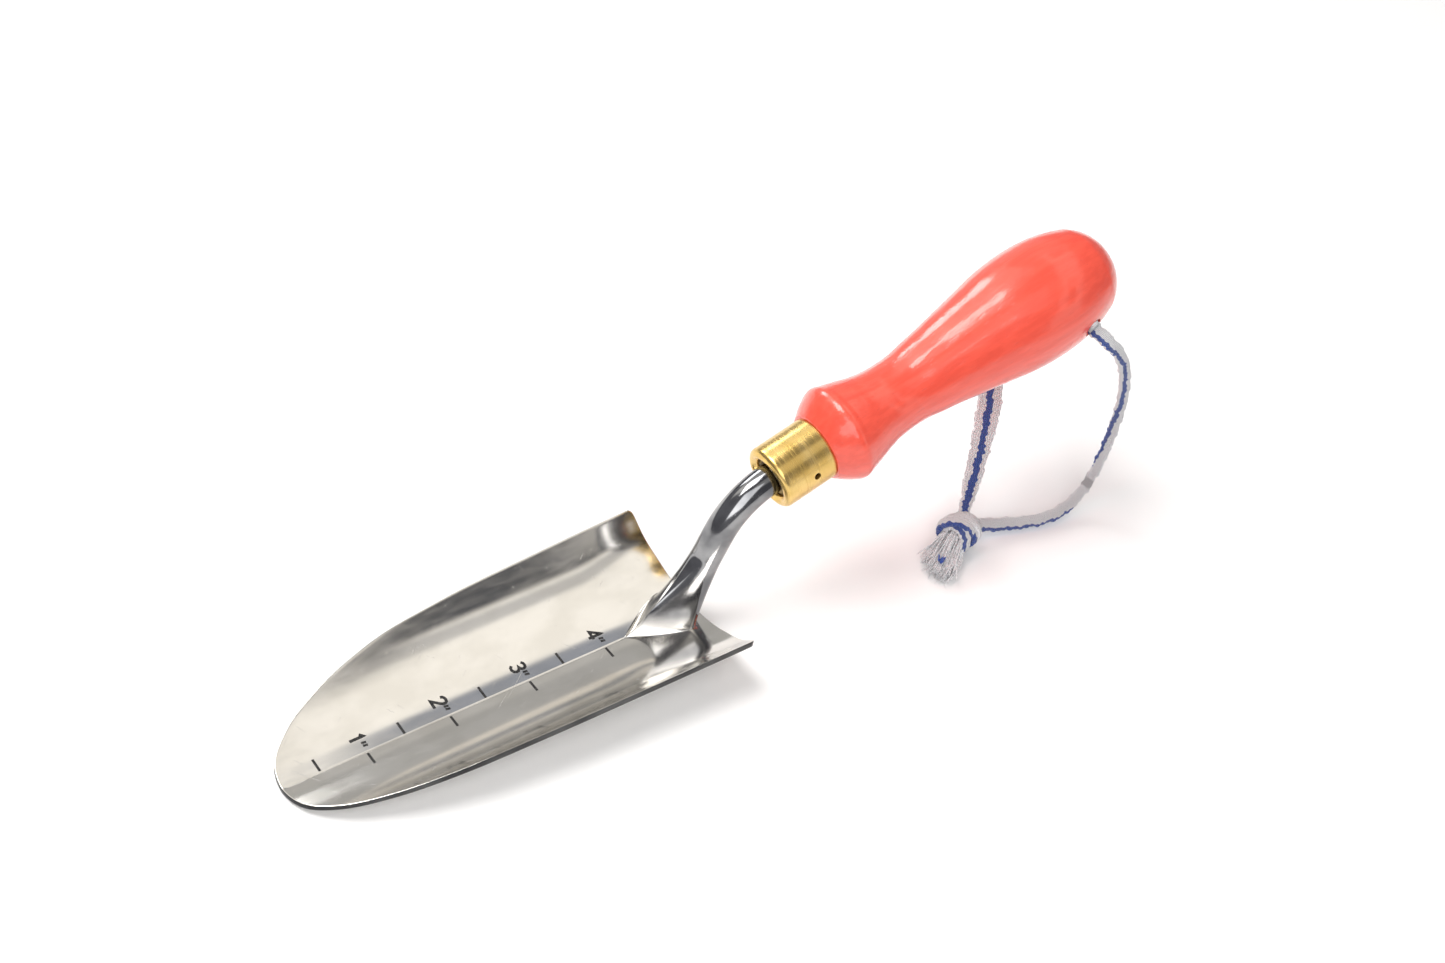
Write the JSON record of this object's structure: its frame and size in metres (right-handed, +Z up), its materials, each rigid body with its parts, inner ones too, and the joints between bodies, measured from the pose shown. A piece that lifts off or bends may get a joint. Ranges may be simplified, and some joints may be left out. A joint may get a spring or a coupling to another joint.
{
  "type": "hand trowel",
  "caption": "Hand trowel with a pressed steel scoop blade, swan neck, ferrule, turned wooden handle and a hanging loop of flat braided cord.",
  "frame": {"origin": "on the surface that the blade's keel lies on, under the middle of the trowel's length, measured without the cord", "axes": "+X from the tip of the blade to the butt of the handle, +Y the blade's left wing, +Z up out of the hollow of the blade"},
  "size_m": [0.2767, 0.0602, 0.0915],
  "materials": {
    "polished_steel": "polished stainless steel with fine scratches",
    "satin_brass": "satin, turned, with fine circumferential lines",
    "pin_steel": "dull, darkened",
    "painted_wood": "glossy coral-red paint over turned wood, grain showing as ripples",
    "adhesive": "hardened amber adhesive",
    "braided_cord": "flat white cotton braid with a royal-blue centre stripe"
  },
  "bodies": {
    "root": {"blade": "polished_steel", "swan_neck": "polished_steel", "weld_bead": "polished_steel", "ferrule": "satin_brass", "ferrule_pin": "pin_steel", "handle": "painted_wood", "tang_adhesive": "adhesive", "cord_near_leg": "braided_cord", "cord_far_leg": "braided_cord", "cord_in_handle": "braided_cord", "cord_knot": "braided_cord", "cord_tails": "braided_cord"}
  },
  "joints": []
}
